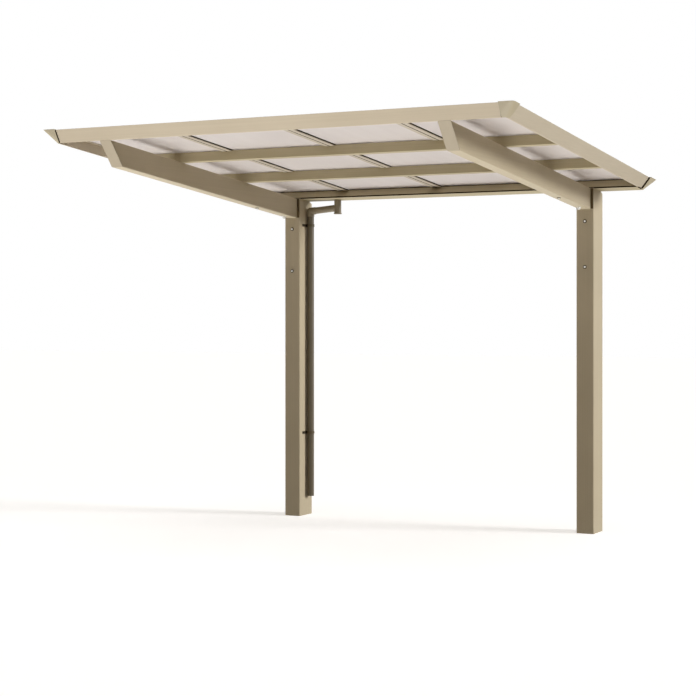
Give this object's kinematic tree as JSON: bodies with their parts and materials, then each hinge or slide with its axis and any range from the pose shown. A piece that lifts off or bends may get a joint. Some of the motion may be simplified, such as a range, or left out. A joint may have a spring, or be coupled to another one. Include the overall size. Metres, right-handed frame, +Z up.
{
  "type": "cycle shelter",
  "caption": "Open cycle shelter: a flat translucent roof in a leaning aluminium edge frame, carried forward on beams from rear posts, with a rear gutter and downpipe",
  "frame": {"origin": "middle of the left post's foot, on the ground", "axes": "X to the right along the roof's front edge, Y to the rear, Z up; seen from the front, the viewer looks along +Y"},
  "size_m": [2.6572, 2.2572, 2.2335],
  "materials": {
    "champagne_aluminium": "satin champagne coating",
    "cap_plastic": "matt champagne",
    "panel_plastic": "frosted translucent sheet",
    "pipe_plastic": "matt brown"
  },
  "bodies": {
    "root": {"left_post": "champagne_aluminium", "right_post": "champagne_aluminium", "left_post_cap": "champagne_aluminium", "right_post_cap": "champagne_aluminium", "left_beam": "champagne_aluminium", "right_beam": "champagne_aluminium", "left_beam_end_cap": "cap_plastic", "right_beam_end_cap": "cap_plastic", "front_frame": "champagne_aluminium", "left_side_frame": "champagne_aluminium", "right_side_frame": "champagne_aluminium", "front_left_corner_cap": "cap_plastic", "front_right_corner_cap": "cap_plastic", "rear_left_corner_cap": "cap_plastic", "rear_right_corner_cap": "cap_plastic", "front_purlin": "champagne_aluminium", "rear_purlin": "champagne_aluminium", "gutter": "champagne_aluminium", "roof_panel_1": "panel_plastic", "roof_panel_2": "panel_plastic", "roof_panel_3": "panel_plastic", "roof_panel_4": "panel_plastic", "panel_bar_1": "champagne_aluminium", "panel_bar_2": "champagne_aluminium", "panel_bar_3": "champagne_aluminium", "cover_strip_1": "champagne_aluminium", "cover_strip_2": "champagne_aluminium", "cover_strip_3": "champagne_aluminium", "outlet_box": "pipe_plastic", "branch_pipe": "pipe_plastic", "pipe_elbow": "pipe_plastic", "downpipe": "pipe_plastic", "upper_pipe_clamp": "pipe_plastic", "lower_pipe_clamp": "pipe_plastic"}
  },
  "joints": []
}
